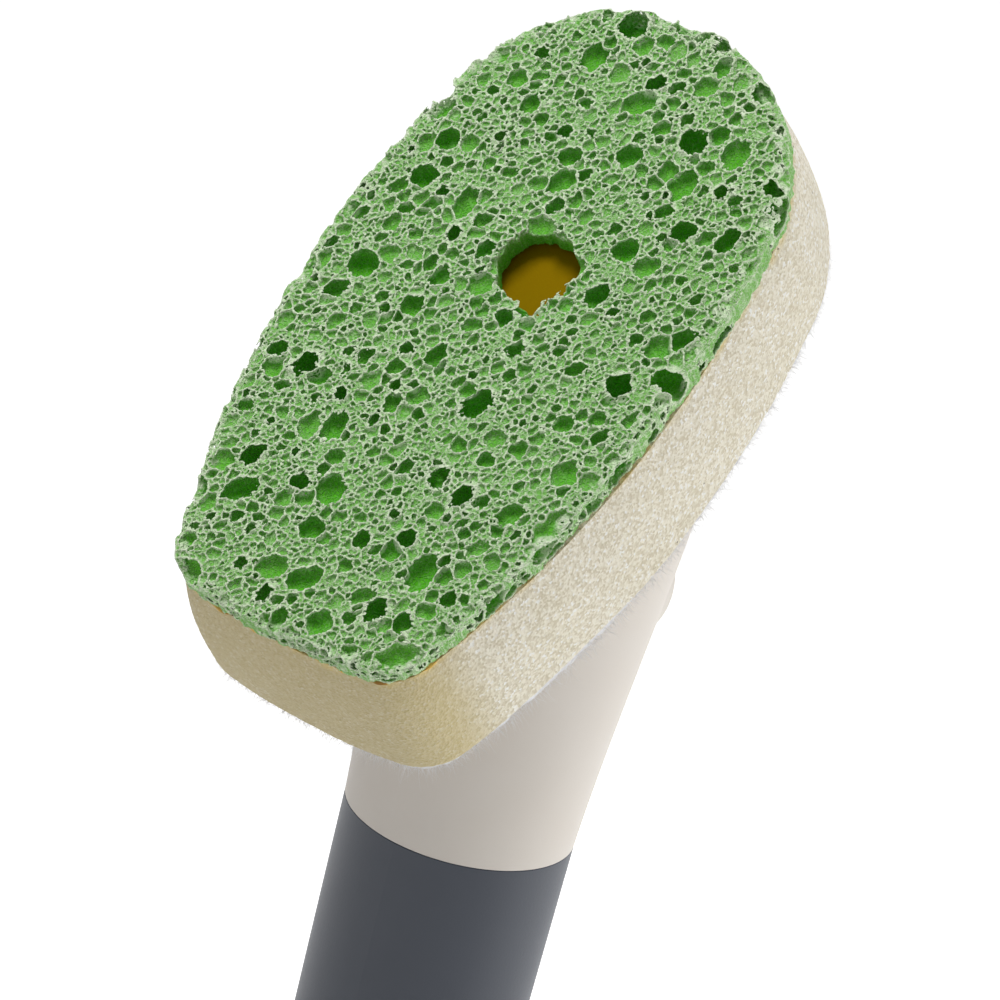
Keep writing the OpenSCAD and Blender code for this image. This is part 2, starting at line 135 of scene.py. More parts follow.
class Finish:
    """One surface finish: a Principled shader whose fixed sockets are set by name."""

    def __init__(self, name, colour, roughness, **fixed):
        self.material = bpy.data.materials.new(name)
        self.material.use_nodes = True
        self.tree = self.material.node_tree
        self.shader = self.tree.nodes["Principled BSDF"]
        self.shader.inputs["Base Color"].default_value = colour
        self.shader.inputs["Roughness"].default_value = roughness
        for words, value in fixed.items():
            self.shader.inputs[words.replace("_", " ")].default_value = value
        self.material.diffuse_color = colour

    def node(self, kind, settings=(), sockets=(), out=0):
        """A node that takes its settings first, then the values or links of its sockets."""
        made = self.tree.nodes.new(kind)
        for name, value in dict(settings).items():
            if name == "stops":
                for extra in range(2, len(value)):
                    made.color_ramp.elements.new(0.5)
                for stop, (place, colour) in zip(made.color_ramp.elements, value):
                    stop.position = place
                    stop.color = colour
            else:
                setattr(made, name, value)
        for key, value in dict(sockets).items():
            self.feed(made.inputs[key], value)
        return Field(self, made.outputs[out])

    def feed(self, socket, value):
        """Links an output to a socket, or sets the socket to a fixed value."""
        if isinstance(value, Field):
            self.tree.links.new(value.socket, socket)
        else:
            socket.default_value = value

    def place(self):
        """Where a point of the piece lies, in metres."""
        return self.node("ShaderNodeTexCoord", out="Object")

    def cloud(self, size, at=None, detail=3.0):
        """Soft noise whose patches are about size metres across, from 0 to 1."""
        return self.node("ShaderNodeTexNoise", {}, {"Vector": at or self.place(), "Scale": 1 / size,
                                                    "Detail": detail, "Roughness": 0.55})

    def cells(self, size, at, out=0, feature="F1"):
        """Cells about size metres across: how far from a cell's middle, or at output 1 its own colour."""
        return self.node("ShaderNodeTexVoronoi", {"feature": feature}, {"Vector": at, "Scale": 1 / size},
                         out)

    def mix(self, first, second, share):
        """The first colour where share is 0, the second where it is 1."""
        colours = {0: share, 6: first, 7: second}
        return self.node("ShaderNodeMix", {"data_type": "RGBA"}, colours, out=2)

    def bump(self, height, depth):
        """Relief of that depth in metres."""
        normal = self.node("ShaderNodeBump", {}, {"Height": height, "Distance": depth, "Strength": 1.0})
        self.feed(self.shader.inputs["Normal"], normal)

    def set(self, socket, value):
        """A value or a sum for one of the shader's own sockets."""
        self.feed(self.shader.inputs[socket], value)


def wear(finish, *nodes):
    """Gives CAD nodes this finish."""
    for name in nodes:
        mesh = frame["nodes"][name].data
        mesh.materials.clear()
        mesh.materials.append(finish.material)


def piece(name, points, faces, finish, body, slot, matrix=None, crease=40):
    """A mesh object of a finish that rides on a body; crease is the sharpest angle still drawn smooth."""
    mesh = bpy.data.meshes.new(name)
    mesh.from_pydata(np.asarray(points, float).reshape(-1, 3).tolist(), [], faces)
    made = bpy.data.objects.new(name, mesh)
    bpy.context.scene.collection.objects.link(made)
    mesh.materials.append(finish.material)
    if matrix is not None:
        made.matrix_world = matrix
    mesh.shade_smooth()
    mesh.set_sharp_from_angle(angle=math.radians(crease))
    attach(made, body)
    return made


bottle_finish = Finish("blown_white_plastic", linear(232, 230, 224), 0.42)
bottle_finish.set("Roughness", 0.36 + 0.14 * bottle_finish.cloud(4 * mm))
bottle_finish.bump(bottle_finish.cloud(1.2 * mm), 0.03 * mm)
wear(bottle_finish, "soap_bottle")


# Grip sleeve: soft grey elastomer moulded over the bottle, flush with the neck above it. The mould
# leaves it satin, with a fine even grain.
grip_finish = Finish("grey_elastomer", linear(60, 65, 75), 0.4, Specular_IOR_Level=0.45)
grain = grip_finish.cloud(0.35 * mm, detail=2.0)
grip_finish.set("Base Color", grip_finish.mix(linear(58, 63, 73), linear(62, 67, 77),
                                              grip_finish.cloud(9 * mm)))
grip_finish.set("Roughness", 0.4 + 0.1 * grain)
grip_finish.bump(grain, 0.012 * mm)
wear(grip_finish, "grip_sleeve")


# End cap, its seal and its air vent: the cap is moulded in the grip's grey but harder and a little
# glossier, the seal is a black washer and the vent a clear silicone mushroom.
cap_finish = Finish("hard_grey_plastic", linear(62, 67, 76), 0.4)
cap_finish.set("Roughness", 0.36 + 0.12 * cap_finish.cloud(1.5 * mm))
cap_finish.bump(cap_finish.cloud(0.4 * mm, detail=2.0), 0.01 * mm)
wear(cap_finish, "end_cap")
washer_finish = Finish("black_washer_rubber", linear(34, 34, 36), 0.7)
washer_finish.bump(washer_finish.cloud(0.5 * mm), 0.02 * mm)
wear(washer_finish, "cap_seal", "piston_seal")
silicone_finish = Finish("clear_silicone", linear(222, 222, 216), 0.3, Transmission_Weight=0.25, IOR=1.41)
silicone_finish.set("Roughness", 0.26 + 0.1 * silicone_finish.cloud(2 * mm))
wear(silicone_finish, "vent_valve", "soap_tube")


# Inlet valve, check ball and pump: natural plastic mouldings, a bright steel ball and a bright
# steel spring, all hidden in the neck. The spring shortens towards its fixed end as the button
# goes in.
natural_finish = Finish("natural_plastic", linear(226, 226, 218), 0.5)
natural_finish.set("Roughness", 0.42 + 0.16 * natural_finish.cloud(2 * mm))
natural_finish.bump(natural_finish.cloud(0.6 * mm), 0.015 * mm)
wear(natural_finish, "inlet_valve_body", "pump_barrel", "pump_piston")
steel_finish = Finish("bright_steel", linear(205, 205, 208), 0.2, Metallic=1.0)
steel_finish.set("Roughness", 0.14 + 0.16 * steel_finish.cloud(0.8 * mm))
wear(steel_finish, "inlet_ball", "pump_spring")
# The spring is a copy of its own mesh, because only a piece can shorten.
coil = bpy.data.objects.new("spring_coil", frame["nodes"]["pump_spring"].data.copy())
bpy.context.scene.collection.objects.link(coil)
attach(coil, "handle")
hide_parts("pump_spring")
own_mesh(coil)


# Push button and its ring: the button is moulded in the grip's elastomer with a slightly domed,
# finely grained top, and the ring is the neck's white plastic.
button_finish = Finish("button_elastomer", linear(62, 67, 76), 0.5)
button_grain = button_finish.cloud(0.3 * mm, detail=2.0)
button_finish.set("Roughness", 0.46 + 0.1 * button_grain)
button_finish.bump(button_grain, 0.015 * mm)
wear(button_finish, "pump_button")
white_finish = Finish("white_moulded_plastic", linear(226, 219, 210), 0.45, Specular_IOR_Level=0.2)
white_finish.set("Base Color", white_finish.mix(linear(224, 216, 206), linear(228, 222, 214),
                                                white_finish.cloud(14 * mm)))
white_finish.set("Roughness", 0.42 + 0.1 * white_finish.cloud(2.5 * mm))
white_finish.bump(white_finish.cloud(0.3 * mm, detail=2.0), 0.006 * mm)
wear(white_finish, "button_ring", "spout", "head_plate")


# Head axes: the plate, its outlet and the refill share one axis, square to the scrubbing face. The
# refill pulls off along it, and the head's own origin is where it crosses the handle's axis.
outward = Vector(next(j for j in frame["joints"] if j["name"] == "refill_pull")["axis"]).normalized()
across = Vector((0, 1, 0))
outlet_low, outlet_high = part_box("outlet_valve")
outlet_middle = (outlet_low + outlet_high) / 2
crossing = outlet_middle - outward * (outlet_middle.x / outward.x)
head = Matrix.Translation(crossing) @ Matrix((across.cross(outward), across, outward)).transposed().to_4x4()


def in_head(node):
    """A CAD node's points in the head's axes: x towards the heel, y across, z outwards."""
    points = np.array([v.co for v in frame["nodes"][node].data.vertices])
    return (points - np.array(crossing)) @ np.array(head.to_3x3())


def levels(node):
    """The lowest and the highest of a CAD node along the head's own axis."""
    heights = in_head(node)[:, 2]
    return heights.min(), heights.max()


# Neck: one white moulding lofted from the round handle to the oval mouth behind the plate, with the
# button's turret growing out of its back in a soft fillet.
neck_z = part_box("grip_sleeve")[1].z
neck_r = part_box("grip_sleeve")[1].x
neck_wall = 2 * mm
mouth_a, mouth_b, mouth_shift = 36 * mm, 22 * mm, 4 * mm
plate_t = 3 * mm
neck_rise, neck_spread, neck_flare = 24 * mm, 0.05, 16 * mm
turret_r, turret_bore_r, turret_fillet = 11.7 * mm, 10 * mm, 2 * mm
turret_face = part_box("neck_housing")[0].x
turret_z = sum(c.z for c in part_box("button_ring")) / 2
shoulder_x = turret_face + 10 * mm
barrel_r, barrel_room = 7 * mm, 9 * mm


def neck_points(depth, around, along):
    """Rings of points up the neck, depth metres inside its outer skin."""
    turn = np.linspace(0, 2 * math.pi, around, endpoint=False)
    cos, sin = np.cos(turn), np.sin(turn)
    start = np.stack([(neck_r - depth) * cos, (neck_r - depth) * sin, np.full(around, neck_z)], 1)
    rise = neck_rise * np.stack([neck_spread * cos, neck_spread * sin, np.ones(around)], 1)
    share = (1 + cos)[:, None] / 2
    lean = share * np.array(outward) + (1 - share) * np.array((0, 0, 1))
    lean /= np.linalg.norm(lean, axis=1)[:, None]
    mouth = np.stack([mouth_shift + (mouth_a - depth) * cos, (mouth_b - depth) * sin,
                      np.full(around, -plate_t)], 1)
    end = mouth @ np.array(head.to_3x3()).T + np.array(crossing)
    t = np.linspace(0, 1, along)[:, None, None]
    return ((1 - t) ** 3 * start + 3 * t * (1 - t) ** 2 * (start + rise)
            + 3 * t ** 2 * (1 - t) * (end - neck_flare * lean) + t ** 3 * end)


def closed_faces(rows, columns):
    """Quads over a grid of points that closes on itself both ways."""
    return [(r * columns + c, r * columns + (c + 1) % columns,
             (r + 1) % rows * columns + (c + 1) % columns, (r + 1) % rows * columns + c)
            for r in range(rows) for c in range(columns)]


def spun(profile, around, matrix):
    """A closed profile of (radius, height) turned about the matrix's z axis, as points and faces."""
    turn = np.linspace(0, 2 * math.pi, around, endpoint=False)
    rings = [[(r * math.cos(a), r * math.sin(a), z) for a in turn] for r, z in profile]
    points = [matrix @ Vector(p) for ring in rings for p in ring]
    return points, closed_faces(len(profile), around)


def quarter(centre, radius, first, steps=6):
    """A quarter of a circle as (radius, height) points, from the angle first, in degrees."""
    angles = [math.radians(first + 90 * k / steps) for k in range(steps + 1)]
    return [(centre[0] + radius * math.cos(a), centre[1] + radius * math.sin(a)) for a in angles]


def outwards(made):
    """Turns a closed mesh's faces outwards."""
    shape = bmesh.new()
    shape.from_mesh(made.data)
    bmesh.ops.recalc_face_normals(shape, faces=shape.faces)
    shape.to_mesh(made.data)
    shape.free()


def carve(made, tool, operation):
    """Joins another closed mesh to this one or cuts it away, and removes the tool."""
    outwards(tool)
    modifier = made.modifiers.new("carve", "BOOLEAN")
    modifier.operation = operation
    modifier.solver = "EXACT"
    modifier.object = tool
    bpy.context.view_layer.update()
    shaped = made.evaluated_get(bpy.context.evaluated_depsgraph_get())
    made.modifiers.clear()
    made.data = bpy.data.meshes.new_from_object(shaped)
    bpy.data.objects.remove(tool)


neck_around, neck_along = 144, 84
outer_skin = neck_points(0, neck_around, neck_along)
from_axis = np.hypot(outer_skin[..., 1], outer_skin[..., 2] - turret_z)
reach = np.clip(turret_r + turret_fillet - from_axis, 0, turret_fillet)
outer_skin[..., 0] -= (outer_skin[..., 0] < 0) * (turret_fillet - np.sqrt(turret_fillet ** 2 - reach ** 2))
neck_rows = np.concatenate([outer_skin, neck_points(neck_wall, neck_around, neck_along)[::-1]])
neck = piece("neck_skin", neck_rows, closed_faces(2 * neck_along, neck_around), white_finish, "handle",
             "white_plastic")
outwards(neck)
into_turret = Matrix.Translation((0, 0, turret_z)) @ Matrix.Rotation(math.pi / 2, 4, "Y")
turret_sides = 96
rim = 0.9 * mm
inner_x = -neck_r + 5 * mm
near_axis = 0.1 * mm
wall_outline = [(near_axis, turret_face)] + quarter((turret_r - rim, turret_face + rim), rim, -90) + [
    (turret_r, inner_x), (near_axis, inner_x)]
turret_wall = piece("turret_wall", *spun(wall_outline, turret_sides, into_turret), white_finish, "handle",
                    "white_plastic")
carve(neck, turret_wall, "UNION")
before_face = turret_face - 2 * mm
bore_outline = [(0, before_face), (turret_bore_r, before_face), (turret_bore_r, shoulder_x),
                (barrel_r, shoulder_x), (barrel_r, shoulder_x + barrel_room), (0, shoulder_x + barrel_room)]
turret_bore = piece("turret_bore", *spun(bore_outline, turret_sides, into_turret), white_finish, "handle",
                    "white_plastic")
carve(neck, turret_bore, "DIFFERENCE")
neck_crease = 32
neck.data.shade_smooth()
neck.data.set_sharp_from_angle(angle=math.radians(neck_crease))
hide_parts("neck_housing")


# Soap outlet: a matt disc moulded in amber rubber, snapped over the end of the spout. It is seen at
# the bottom of the sponge's hole.
amber_finish = Finish("amber_rubber", linear(148, 116, 0), 0.8, Specular_IOR_Level=0.04)
amber_grain = amber_finish.cloud(0.25 * mm, detail=2.0)
amber_finish.set("Base Color", amber_finish.mix(linear(142, 112, 0), linear(154, 121, 0), amber_grain))
amber_finish.set("Roughness", 0.75 + 0.15 * amber_grain)
amber_finish.bump(amber_grain, 0.02 * mm)
wear(amber_finish, "outlet_valve")


# Hook pad: a thin plastic pad moulded with rows of small bent hooks, bonded to the head plate. The
# refill's looped back presses onto them and pulls off by hand.
hook_finish = Finish("hook_plastic", linear(226, 226, 222), 0.4)
hook_finish.set("Roughness", 0.34 + 0.12 * hook_finish.cloud(3 * mm))
pad_low, pad_high = levels("hook_pad")
hook_base_t = 0.6 * mm
hook_pitch = 1.5 * mm
hook_r = 0.14 * mm
pad_count = 240
widest_bore_r = 12 * mm
face_from, face_to, face_rows = 0.02, 0.985, 12


def edge_of(node):
    """The outer edge of a flat layer as points in order, in the head's axes, without its bore."""
    spread = in_head(node)[:, :2]
    past_bore = np.hypot(spread[:, 0], spread[:, 1]) > widest_bore_r
    points = np.unique(np.round(spread[past_bore], 7), axis=0)
    middle = points.mean(0)
    return points[np.argsort(np.arctan2(points[:, 1] - middle[1], points[:, 0] - middle[0]))]


def evenly(loop, count):
    """A closed loop of points resampled at even steps."""
    closed = np.vstack([loop, loop[:1]])
    walked = np.concatenate([[0], np.cumsum(np.hypot(*np.diff(closed, axis=0).T))])
    steps = np.linspace(0, walked[-1], count, endpoint=False)
    return np.stack([np.interp(steps, walked, closed[:, k]) for k in (0, 1)], 1)


def signed_distance(loop, x, y):
    """Distance from each (x, y) to a closed loop, negative inside it."""
    nearest = np.full(x.shape, 1e9)
    inside = np.zeros(x.shape, bool)
    for (ax, ay), (bx, by) in zip(loop, np.roll(loop, -1, axis=0)):
        ex, ey = bx - ax, by - ay
        t = np.clip(((x - ax) * ex + (y - ay) * ey) / (ex * ex + ey * ey), 0, 1)
        nearest = np.minimum(nearest, np.hypot(x - ax - t * ex, y - ay - t * ey))
        if ay != by:
            inside ^= ((ay > y) != (by > y)) & (x < ex * (y - ay) / ey + ax)
    return np.where(inside, -nearest, nearest)


def facing_out(loop):
    """Unit vectors that point straight out of a closed loop at each of its points."""
    ahead = np.roll(loop, -1, axis=0) - np.roll(loop, 1, axis=0)
    return np.stack([ahead[:, 1], -ahead[:, 0]], 1) / np.hypot(*ahead.T)[:, None]


def layer_rows(loop, bore_r, low, high, side_rows, side_offset):
    """Rows of points round a flat layer with a bore: out over its back, up its side, in over its face
    and down the bore. side_offset gives how far the side stands out at a share of its height."""
    count = len(loop)
    turn = np.arctan2(loop[:, 1], loop[:, 0])
    bore = bore_r * np.stack([np.cos(turn), np.sin(turn)], 1)
    out = facing_out(loop)
    rows = []
    for share in np.linspace(face_from, face_to, face_rows):
        flat = bore + (loop - bore) * share
        rows.append(np.column_stack([flat, np.full(count, low)]))
    for k in range(side_rows + 1):
        share = k / side_rows
        height = low + (high - low) * share
        rows.append(np.column_stack([loop + out * side_offset(share, height)[:, None],
                                     np.full(count, height)]))
    for share in np.linspace(face_to, face_from, face_rows):
        flat = bore + (loop - bore) * share
        rows.append(np.column_stack([flat, np.full(count, high)]))
    for share in (0.75, 0.5, 0.25):
        rows.append(np.column_stack([bore, np.full(count, low + (high - low) * share)]))
    return np.array(rows)


pad_edge = edge_of("hook_pad")
pad_loop = evenly(pad_edge, pad_count)
spout_bore_r = 5.2 * mm
pad_rows = layer_rows(pad_loop, spout_bore_r, pad_low, pad_low + hook_base_t, side_rows=2,
                      side_offset=lambda share, z: np.zeros(pad_count))
pad_half_wide, pad_margin, spout_room_r = 24 * mm, 0.8 * mm, 6.5 * mm
hook_x, hook_y = np.meshgrid(np.arange(pad_edge[:, 0].min(), pad_edge[:, 0].max(), hook_pitch),
                             np.arange(-pad_half_wide, pad_half_wide, hook_pitch))
hook_x = hook_x + hook_pitch / 2 * (np.arange(len(hook_x)) % 2)[:, None]
fits = (signed_distance(pad_edge, hook_x, hook_y) < -pad_margin) & (np.hypot(hook_x, hook_y) > spout_room_r)
hook_points, hook_faces = list(pad_rows.reshape(-1, 3)), closed_faces(len(pad_rows), pad_count)
hook_tall = pad_high - pad_low - hook_base_t
hook_line = [(0, -0.1 * mm), (0, 0.55 * hook_tall), (0.12 * mm, 0.85 * hook_tall),
             (0.34 * mm, 0.98 * hook_tall), (0.52 * mm, 0.8 * hook_tall)]
for x, y in zip(hook_x[fits], hook_y[fits]):
    side = 1 if round(y / hook_pitch) % 2 else -1
    first = len(hook_points)
    for along, up in hook_line:
        for dx, dy in ((1, 1), (-1, 1), (-1, -1), (1, -1)):
            hook_points.append((x + side * along + dx * hook_r, y + dy * hook_r, pad_low + hook_base_t + up))
    for ring in range(len(hook_line) - 1):
        for k in range(4):
            a, b = first + 4 * ring + k, first + 4 * ring + (k + 1) % 4
            hook_faces.append((a, b, b + 4, a + 4))
    last = first + 4 * (len(hook_line) - 1)
    hook_faces += [(first, first + 3, first + 2, first + 1), (last, last + 1, last + 2, last + 3)]
hooks = piece("hook_field", hook_points, hook_faces, hook_finish, "handle", "hook_plastic", head)
outwards(hooks)
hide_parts("hook_pad")


# Looped back: white brushed knit glued under the foam. Loose fibres stand out all round its edge,
# where the cutting die left them.
fabric_finish = Finish("brushed_loop_knit", linear(250, 250, 252), 0.9, Sheen_Weight=0.5,
                       Sheen_Roughness=0.5)
knit = fabric_finish.cells(0.7 * mm, fabric_finish.place())
fabric_finish.set("Base Color", fabric_finish.mix(linear(252, 252, 254), linear(238, 237, 238), knit))
fabric_finish.bump(knit + fabric_finish.cloud(0.3 * mm), 0.15 * mm)
fibre_seed = 20
chance = np.random.default_rng(fibre_seed)
loop_low, loop_high = levels("loop_backing")
foam_edge = edge_of("foam_block")


def bulge(x, y):
    """How far the refill stands out where its tip turns into its right side, as cut."""
    return 1.0 * mm * np.maximum(0, (0.8 * y - 0.6 * x) / np.hypot(x, y)) ** 3


refill_bore_r = 7.6 * mm
side_count = 720
side_loop = evenly(foam_edge, side_count)


def ruffle(points, size, amount):
    """Smooth random heights at the points, with bumps about size metres across."""
    return amount * np.array([noise.noise(Vector(p) / size) for p in points])


def fabric_side(share, z):
    """A rounded, slightly ruffled edge, drawn in under the fibres."""
    rounded = -0.1 * mm - 0.3 * mm * (2 * share - 1) ** 4
    return rounded + ruffle(np.column_stack([side_loop, np.full(side_count, z)]), 0.9 * mm, 0.35 * mm)


cut_crease = 80
fabric_rows = layer_rows(side_loop, refill_bore_r, loop_low, loop_high, side_rows=5,
                         side_offset=fabric_side)
fabric = piece("loop_fabric", fabric_rows, closed_faces(len(fabric_rows), side_count), fabric_finish,
               "refill", "loop_fabric", head, cut_crease)
outwards(fabric)
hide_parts("loop_backing")
fibre_count = 8000
fibre_steps = 4
spot = chance.integers(0, side_count, fibre_count)
out = facing_out(side_loop)[spot]
stands_out = chance.uniform(-1.6 * mm, 0.1 * mm, fibre_count)[:, None]
root = np.column_stack([side_loop[spot] + out * stands_out,
                        chance.uniform(loop_low, loop_high - 0.1 * mm, fibre_count)])
under_foam = signed_distance(foam_edge, root[:, 0], root[:, 1]) < -0.4 * mm
root[:, 2] = np.where(under_foam, loop_low, root[:, 2])
aim = np.column_stack([out * chance.uniform(0.3, 1, fibre_count)[:, None],
                       chance.uniform(-0.9, 0.35, fibre_count)]) + chance.normal(0, 0.4, (fibre_count, 3))
aim /= np.linalg.norm(aim, axis=1)[:, None]
curl = chance.normal(0, 0.7, (fibre_count, 3))
fibre_long = chance.uniform(0.5 * mm, 2.2 * mm, fibre_count)[:, None]
fibre_r = 0.028 * mm
rings = []
for k in range(fibre_steps + 1):
    s = k / fibre_steps
    middle = root + fibre_long * (s * aim + 0.5 * s * s * curl)
    for angle in (0, 120, 240):
        turned = np.array((math.cos(math.radians(angle)), math.sin(math.radians(angle)), 0.3))
        rings.append(middle + fibre_r * (1.15 - s) * turned)
fibre_points = np.stack(rings, 1).reshape(-1, 3)
fibre_faces = []
per_fibre = 3 * (fibre_steps + 1)
for first in range(0, fibre_count * per_fibre, per_fibre):
    for a in range(first, first + 3 * fibre_steps, 3):
        fibre_faces += [(a, a + 1, a + 4, a + 3), (a + 1, a + 2, a + 5, a + 4), (a + 2, a, a + 3, a + 5)]
    tip = first + 3 * fibre_steps
    fibre_faces += [(first, first + 2, first + 1), (tip, tip + 1, tip + 2)]
piece("loop_fibres", fibre_points, fibre_faces, fabric_finish, "refill", "loop_fabric", head)


# Foam block: fine open-cell cream foam, die-cut, a little pinched where it is glued and rounded at
# its back edge. Its broken cells are glossier and a few carry a painted glint, glue has yellowed it
# along the seam, and painted shade darkens and yellows its heel end.
foam_low, foam_high = levels("foam_block")
foam_finish = Finish("cream_foam", linear(226, 220, 196), 0.85, Sheen_Weight=0.2, Sheen_Roughness=0.6)
foam_place = foam_finish.place()
foam_cell = 0.38 * mm
# Each cell's own random tint, read for the grain, for the painted glints and for the glossier cells.
grain_and_glint = foam_finish.node("ShaderNodeSeparateColor", {}, {0: foam_finish.cells(
    foam_cell, foam_place, out=1)})
foam_cells = foam_finish.cells(foam_cell, foam_place)
along_foam = foam_finish.node("ShaderNodeSeparateXYZ", {}, {0: foam_place})
foam_height = foam_finish.node("ShaderNodeSeparateXYZ", {}, {0: foam_place}, out=2)
seam_stain, heel_from, heel_to = 1.6 * mm, 50 * mm, 60 * mm
near_seam = foam_height.between(foam_high - seam_stain, foam_high)
painted_heel_shade = along_foam.between(heel_from, heel_to)
foam_colour = foam_finish.mix(linear(250, 245, 230), linear(242, 235, 212),
                              foam_finish.cloud(11 * mm, foam_place))
foam_colour = foam_finish.mix(foam_colour, linear(190, 174, 134), grain_and_glint.between(0.1, 0.9) * 0.6)
# Painted glints: a few of the cells are painted near white; they are also made glossier below.
foam_colour = foam_finish.mix(foam_colour, linear(255, 254, 248), grain_and_glint.between(0.88, 0.93) * 0.9)
# Painted shade: the heel end of the foam is painted darker and yellower.
foam_colour = foam_finish.mix(foam_colour, linear(196, 176, 108), painted_heel_shade * 0.7)
foam_colour = foam_finish.mix(foam_colour, linear(230, 206, 130),
                              near_seam * foam_finish.cloud(5 * mm, foam_place).between(0.35, 0.7) * 0.8)
specks = foam_finish.cells(4.6 * mm, foam_place)
foam_colour = foam_finish.mix(linear(118, 98, 66), foam_colour, specks.between(0.03, 0.05))
foam_finish.set("Base Color", foam_colour)
foam_finish.set("Roughness", 0.9 - 0.45 * grain_and_glint.between(0.85, 0.95))
foam_finish.bump(foam_cells + 0.6 * foam_finish.cloud(0.3 * mm, foam_place, detail=2.0), 0.13 * mm)


def foam_side(share, z):
    """Full at the back, drawn in towards the glue, with a soft back edge, dents and broken cells."""
    full = 0.7 * mm - 1.9 * mm * share ** 3.2 + share * bulge(*side_loop.T)
    back = -0.5 * mm * max(0, (0.04 - share) / 0.04) ** 2
    at = np.column_stack([side_loop, np.full(side_count, z)])
    return full + back + ruffle(at, 14 * mm, 0.4 * mm) + ruffle(at, 0.7 * mm, 0.08 * mm)


into_glue = 0.45 * mm
foam_rows = layer_rows(side_loop, refill_bore_r, foam_low, foam_high + into_glue, side_rows=60,
                       side_offset=foam_side)
foam = piece("foam_body", foam_rows, closed_faces(len(foam_rows), side_count), foam_finish, "refill",
             "cream_foam", head, cut_crease)
outwards(foam)
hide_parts("foam_block")


# Glue film: a thin amber film between foam and sponge, pale where it is thin. It has oozed out here
# and there, most of all at the heel, where it shows brown.
glue_low, glue_high = levels("glue_film")
scrub_edge = edge_of("scrub_sponge")
scrub_loop = evenly(scrub_edge, side_count)
glue_finish = Finish("amber_glue", linear(206, 170, 66), 0.4)
glue_place = glue_finish.place()
glue_patches = glue_finish.cloud(2.6 * mm, glue_place)
along_glue = glue_finish.node("ShaderNodeSeparateXYZ", {}, {0: glue_place})
glue_at_heel = along_glue.between(heel_from, 58 * mm)
glue_pale = glue_finish.mix(linear(250, 238, 190), linear(244, 222, 130), glue_patches.between(0.45, 0.75))
glue_brown = glue_finish.mix(linear(226, 186, 80), linear(150, 106, 20), glue_patches.between(0.45, 0.65))
glue_finish.set("Base Color", glue_finish.mix(glue_pale, glue_brown, glue_at_heel))
glue_finish.set("Roughness", 0.35 + 0.3 * glue_patches)


def glue_side(share, z):
    """Drawn in under the sponge's edge, with drops that oozed out, larger ones at the heel."""
    at = np.column_stack([scrub_loop, np.full(side_count, z)])
    ooze = np.maximum(ruffle(at, 4 * mm, 1.5 * mm), -0.3 * mm) + ruffle(at, 1.1 * mm, 0.3 * mm)
    heel_share = np.clip((scrub_loop[:, 0] - 40 * mm) / (14 * mm), 0.15, 1)
    return ooze * heel_share - 0.2 * mm - 0.3 * mm * (2 * share - 1) ** 2 + bulge(*scrub_loop.T)


glue_bore_r = 7.2 * mm
into_foam, into_sponge = 0.15 * mm, 0.1 * mm
glue_rows = layer_rows(scrub_loop, glue_bore_r, glue_low - into_foam, glue_high + into_sponge, side_rows=4,
                       side_offset=glue_side)
glue = piece("glue_bead", glue_rows, closed_faces(len(glue_rows), side_count), glue_finish, "refill",
             "amber_glue", head, cut_crease)
outwards(glue)
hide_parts("glue_film")


# Scrub sponge: green cellulose full of open cells from less than half a millimetre to five across.
# Thin pale webs part the cells, the saw has left the face ragged, and the die has rounded its edge.
# Its colour also holds painted light: a more saturated green deep in the cells for light bounced
# inside them, painted highlights on the webs' ridges and fibres at the face, and painted shade in
# the fine pores deep down.
scrub_low, scrub_high = levels("scrub_sponge")
step = 0.15 * mm
web = 0.14 * mm
hole_r = 5.85 * mm
hole_y = 1.1 * mm
foot_t = 0.3 * mm
drawn_angle = -0.39
cell_seed = 11
chance = np.random.default_rng(cell_seed)
margin = 2.2 * mm
grid_x = np.arange(scrub_edge[:, 0].min() - margin, scrub_edge[:, 0].max() + margin, step)
grid_y = np.arange(scrub_edge[:, 1].min() - margin, scrub_edge[:, 1].max() + margin, step)
grid_z = np.arange(scrub_low - 3 * step, scrub_high + 4 * step, step)
flat_x, flat_y = np.meshgrid(grid_x, grid_y, indexing="ij")
flat_points = np.column_stack([flat_x.ravel(), flat_y.ravel(), np.zeros(flat_x.size)])


def flat_noise(size, amount, shift=0.0):
    """Smooth random heights over the grid's plan, one pattern for each shift."""
    return ruffle(flat_points + (shift, 0, 0), size, amount).reshape(flat_x.shape)


past_edge = 0.5 * mm
pressed_wide, pressed_deep = 2.2 * mm, 0.9 * mm
height_share = ((grid_z - scrub_low) / (scrub_high - scrub_low)).astype(np.float32)
to_edge = past_edge - signed_distance(scrub_edge, flat_x, flat_y) + flat_noise(7 * mm, 0.4 * mm)
to_edge += bulge(flat_x, flat_y)
to_hole = np.hypot(flat_x, flat_y - hole_y) - hole_r + flat_noise(2.4 * mm, 0.5 * mm, 2)
ragged_top = flat_noise(1.5 * mm, 0.32 * mm, 1) + flat_noise(0.6 * mm, 0.14 * mm, 10)
ragged_foot = flat_noise(1.3 * mm, 0.4 * mm, 9) + flat_noise(0.5 * mm, 0.16 * mm, 11)
ragged = ragged_top[..., None] * height_share + ragged_foot[..., None] * (1 - height_share)
ragged = ragged.astype(np.float32)
face = scrub_high - 0.12 * mm + flat_noise(9 * mm, 0.25 * mm, 3) + flat_noise(0.9 * mm, 0.2 * mm, 4)
face -= pressed_deep * np.clip(1 - to_edge / pressed_wide, 0, 1) ** 2
under_face = np.minimum(to_edge[..., None] + ragged, face[..., None] - grid_z)
shell = np.minimum(under_face, to_hole[..., None] + 0.8 * ragged)
bent_x = flat_x + flat_noise(1.8 * mm, 0.4 * mm, 5) + flat_noise(0.6 * mm, 0.08 * mm, 6)
bent_y = flat_y + flat_noise(1.8 * mm, 0.4 * mm, 7) + flat_noise(0.6 * mm, 0.08 * mm, 8)


